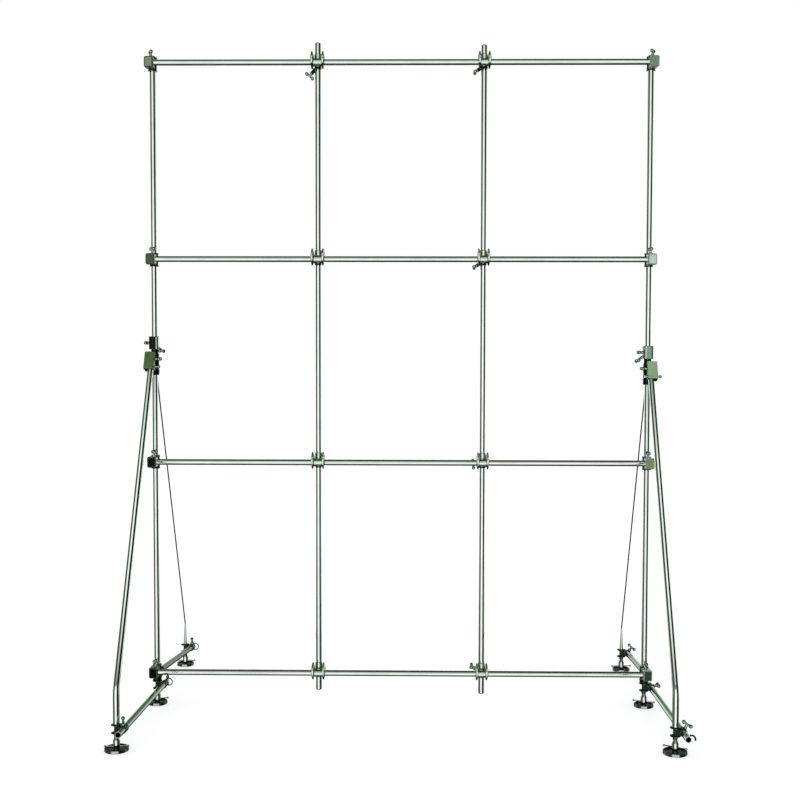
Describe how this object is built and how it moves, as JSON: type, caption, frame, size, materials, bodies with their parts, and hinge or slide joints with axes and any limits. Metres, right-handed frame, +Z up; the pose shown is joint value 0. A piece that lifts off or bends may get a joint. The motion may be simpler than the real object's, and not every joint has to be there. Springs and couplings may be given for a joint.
{
  "type": "pipe frame stand",
  "caption": "Free-standing lattice of plated tubes with cast clamps and T-handled screws, held upright by bent front legs, rear stays and levelling feet.",
  "frame": {"origin": "middle of the footprint's box, on the floor", "axes": "+X along the rails to the right as seen from the front, +Y from the front to the back, +Z up"},
  "size_m": [2.2285, 1.3182, 2.804],
  "materials": {
    "tube": "polished chrome plate over steel tube",
    "clamp": "satin plated casting",
    "screw": "polished plate",
    "foot": "turned steel, worn plate",
    "stay": "plated rod"
  },
  "bodies": {
    "frame": {"left_post": "tube", "left_upright": "tube", "left_corner_clamps": "clamp", "left_cross_clamps": "clamp", "left_collar": "clamp", "left_collar_screws": "screw", "right_post": "tube", "right_upright": "tube", "right_corner_clamps": "clamp", "right_cross_clamps": "clamp", "right_collar": "clamp", "right_collar_screws": "screw", "top_rail": "tube", "upper_rail": "tube", "lower_rail": "tube", "bottom_rail": "tube"},
    "left_top_corner_screw": {"left_top_corner_screw": "screw"},
    "left_top_cross_screw": {"left_top_cross_screw": "screw"},
    "left_upper_corner_screw": {"left_upper_corner_screw": "screw"},
    "left_upper_cross_screw": {"left_upper_cross_screw": "screw"},
    "left_lower_corner_screw": {"left_lower_corner_screw": "screw"},
    "left_lower_cross_screw": {"left_lower_cross_screw": "screw"},
    "left_bottom_corner_screw": {"left_bottom_corner_screw": "screw"},
    "left_bottom_cross_screw": {"left_bottom_cross_screw": "screw"},
    "right_top_corner_screw": {"right_top_corner_screw": "screw"},
    "right_top_cross_screw": {"right_top_cross_screw": "screw"},
    "right_upper_corner_screw": {"right_upper_corner_screw": "screw"},
    "right_upper_cross_screw": {"right_upper_cross_screw": "screw"},
    "right_lower_corner_screw": {"right_lower_corner_screw": "screw"},
    "right_lower_cross_screw": {"right_lower_cross_screw": "screw"},
    "right_bottom_corner_screw": {"right_bottom_corner_screw": "screw"},
    "right_bottom_cross_screw": {"right_bottom_cross_screw": "screw"},
    "left_front_leg": {"left_bracket": "clamp", "left_bracket_pin": "screw", "left_brace": "tube", "left_front_base_tube": "tube", "left_front_foot_clamp": "clamp", "left_mid_foot_clamp": "clamp", "left_front_leg_screws": "screw"},
    "left_rear_leg": {"left_rear_stay": "stay", "left_rear_base_tube": "tube", "left_rear_foot_clamp": "clamp", "left_rear_leg_screw": "screw"},
    "left_front_foot": {"left_front_foot": "foot"},
    "left_mid_foot": {"left_mid_foot": "foot"},
    "left_rear_foot": {"left_rear_foot": "foot"},
    "right_front_leg": {"right_bracket": "clamp", "right_bracket_pin": "screw", "right_brace": "tube", "right_front_base_tube": "tube", "right_front_foot_clamp": "clamp", "right_mid_foot_clamp": "clamp", "right_front_leg_screws": "screw"},
    "right_rear_leg": {"right_rear_stay": "stay", "right_rear_base_tube": "tube", "right_rear_foot_clamp": "clamp", "right_rear_leg_screw": "screw"},
    "right_front_foot": {"right_front_foot": "foot"},
    "right_mid_foot": {"right_mid_foot": "foot"},
    "right_rear_foot": {"right_rear_foot": "foot"}
  },
  "joints": [
    {"name": "left_top_corner_screw_turn", "type": "hinge", "parent": "frame", "child": "left_top_corner_screw", "pos_m": [-1.0401, -0.02296, 2.715], "axis": [0, 0, 1], "range_deg": [0, 360]},
    {"name": "left_top_cross_screw_turn", "type": "hinge", "parent": "frame", "child": "left_top_cross_screw", "pos_m": [-0.3456, 0.01804, 2.709], "axis": [-0.6428, 0, -0.766], "range_deg": [0, 360]},
    {"name": "left_upper_corner_screw_turn", "type": "hinge", "parent": "frame", "child": "left_upper_corner_screw", "pos_m": [-1.0401, -0.02296, 1.9], "axis": [0, 0, 1], "range_deg": [0, 360]},
    {"name": "left_upper_cross_screw_turn", "type": "hinge", "parent": "frame", "child": "left_upper_cross_screw", "pos_m": [-0.3456, 0.01104, 1.894], "axis": [0, 1, 0], "range_deg": [0, 360]},
    {"name": "left_lower_corner_screw_turn", "type": "hinge", "parent": "frame", "child": "left_lower_corner_screw", "pos_m": [-1.0401, -0.02296, 1.045], "axis": [0, 0, 1], "range_deg": [0, 360]},
    {"name": "left_lower_cross_screw_turn", "type": "hinge", "parent": "frame", "child": "left_lower_cross_screw", "pos_m": [-0.3456, 0.01104, 1.039], "axis": [0, 1, 0], "range_deg": [0, 360]},
    {"name": "left_bottom_corner_screw_turn", "type": "hinge", "parent": "frame", "child": "left_bottom_corner_screw", "pos_m": [-1.0401, -0.02296, 0.145], "axis": [0, 0, 1], "range_deg": [0, 360]},
    {"name": "left_bottom_cross_screw_turn", "type": "hinge", "parent": "frame", "child": "left_bottom_cross_screw", "pos_m": [-0.3456, 0.01104, 0.139], "axis": [0, 1, 0], "range_deg": [0, 360]},
    {"name": "right_top_corner_screw_turn", "type": "hinge", "parent": "frame", "child": "right_top_corner_screw", "pos_m": [1.0439, -0.02296, 2.715], "axis": [0, 0, 1], "range_deg": [0, 360]},
    {"name": "right_top_cross_screw_turn", "type": "hinge", "parent": "frame", "child": "right_top_cross_screw", "pos_m": [0.3494, 0.01804, 2.709], "axis": [-0.809, 0, -0.5878], "range_deg": [0, 360]},
    {"name": "right_upper_corner_screw_turn", "type": "hinge", "parent": "frame", "child": "right_upper_corner_screw", "pos_m": [1.0439, -0.02296, 1.9], "axis": [0, 0, 1], "range_deg": [0, 360]},
    {"name": "right_upper_cross_screw_turn", "type": "hinge", "parent": "frame", "child": "right_upper_cross_screw", "pos_m": [0.3494, 0.01804, 1.894], "axis": [-0.829, 0, -0.5592], "range_deg": [0, 360]},
    {"name": "right_lower_corner_screw_turn", "type": "hinge", "parent": "frame", "child": "right_lower_corner_screw", "pos_m": [1.0439, -0.02296, 1.045], "axis": [0, 0, 1], "range_deg": [0, 360]},
    {"name": "right_lower_cross_screw_turn", "type": "hinge", "parent": "frame", "child": "right_lower_cross_screw", "pos_m": [0.3494, 0.01804, 1.039], "axis": [-0.9962, 0, -0.0872], "range_deg": [0, 360]},
    {"name": "right_bottom_corner_screw_turn", "type": "hinge", "parent": "frame", "child": "right_bottom_corner_screw", "pos_m": [1.0439, -0.02296, 0.145], "axis": [0, 0, 1], "range_deg": [0, 360]},
    {"name": "right_bottom_cross_screw_turn", "type": "hinge", "parent": "frame", "child": "right_bottom_cross_screw", "pos_m": [0.3494, 0.01804, 0.139], "axis": [-0.8192, 0, 0.5736], "range_deg": [0, 360]},
    {"name": "left_front_leg_swing", "type": "hinge", "parent": "frame", "child": "left_front_leg", "pos_m": [-1.0401, 0.01104, 0], "axis": [0, 0, -1], "range_deg": [0, 75]},
    {"name": "left_rear_leg_swing", "type": "hinge", "parent": "frame", "child": "left_rear_leg", "pos_m": [-1.0401, 0.01104, 0], "axis": [0, 0, 1], "range_deg": [0, 60]},
    {"name": "left_front_foot_level", "type": "slide", "parent": "left_front_leg", "child": "left_front_foot", "axis": [0, 0, 1], "range_m": [-0.03, 0]},
    {"name": "left_mid_foot_level", "type": "slide", "parent": "frame", "child": "left_mid_foot", "axis": [0, 0, 1], "range_m": [-0.03, 0]},
    {"name": "left_rear_foot_level", "type": "slide", "parent": "left_rear_leg", "child": "left_rear_foot", "axis": [0, 0, 1], "range_m": [-0.03, 0]},
    {"name": "right_front_leg_swing", "type": "hinge", "parent": "frame", "child": "right_front_leg", "pos_m": [1.0439, 0.01104, 0], "axis": [0, 0, 1], "range_deg": [0, 75]},
    {"name": "right_rear_leg_swing", "type": "hinge", "parent": "frame", "child": "right_rear_leg", "pos_m": [1.0439, 0.01104, 0], "axis": [0, 0, -1], "range_deg": [0, 60]},
    {"name": "right_front_foot_level", "type": "slide", "parent": "right_front_leg", "child": "right_front_foot", "axis": [0, 0, 1], "range_m": [-0.03, 0]},
    {"name": "right_mid_foot_level", "type": "slide", "parent": "frame", "child": "right_mid_foot", "axis": [0, 0, 1], "range_m": [-0.03, 0]},
    {"name": "right_rear_foot_level", "type": "slide", "parent": "right_rear_leg", "child": "right_rear_foot", "axis": [0, 0, 1], "range_m": [-0.03, 0]}
  ]
}
